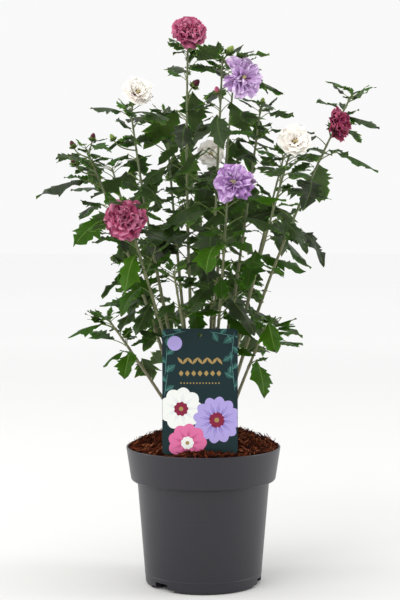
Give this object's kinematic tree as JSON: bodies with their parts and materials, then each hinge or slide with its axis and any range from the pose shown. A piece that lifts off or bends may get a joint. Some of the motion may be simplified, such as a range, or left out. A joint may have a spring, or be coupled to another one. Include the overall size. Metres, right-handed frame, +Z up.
{
  "type": "potted hibiscus shrub",
  "caption": "Flowering hibiscus shrub: a clump of leafy canes with double blooms in red, lilac and white, rising from bark mulch in a tapered nursery pot with a plant card.",
  "frame": {"origin": "middle of the flat underside of the pot, on the surface that the pot stands on", "axes": "+Z up, +X to the right and +Y to the back of the plant as the card is read"},
  "size_m": [0.5164, 0.4709, 0.8372],
  "materials": {
    "pot": "moulded anthracite polypropylene with a soft satin surface",
    "mulch": "loose shredded bark and fibre, damp and matt",
    "card": "printed plastic card with a smooth face",
    "bark": "thin grey-green bark with pale lenticels",
    "foliage": "leaves with a soft waxy upper side and a paler matt underside",
    "petals": "thin ruffled petals with a fine velvet sheen"
  },
  "bodies": {
    "root": {"pot": "pot", "mulch": "mulch", "card": "card", "cane_left": "bark", "foliage_left": "foliage", "cane_right": "bark", "foliage_right": "foliage", "cane_white_left": "bark", "foliage_white_left": "foliage", "cane_white_right": "bark", "foliage_white_right": "foliage", "cane_top": "bark", "foliage_top": "foliage", "cane_lilac_top": "bark", "foliage_lilac_top": "foliage", "cane_mid_right": "bark", "foliage_mid_right": "foliage", "cane_back_top": "bark", "foliage_back_top": "foliage", "cane_front_left": "bark", "foliage_front_left": "foliage", "cane_front": "bark", "foliage_front": "foliage", "cane_back_left_top": "bark", "foliage_back_left_top": "foliage", "cane_back_left": "bark", "foliage_back_left": "foliage", "cane_back_right": "bark", "foliage_back_right": "foliage", "cane_back": "bark", "foliage_back": "foliage", "cane_low_left": "bark", "foliage_low_left": "foliage", "cane_low_right": "bark", "foliage_low_right": "foliage", "cane_low_front": "bark", "foliage_low_front": "foliage", "cane_low_back": "bark", "foliage_low_back": "foliage", "cane_low_back_left": "bark", "foliage_low_back_left": "foliage"}
  },
  "joints": []
}
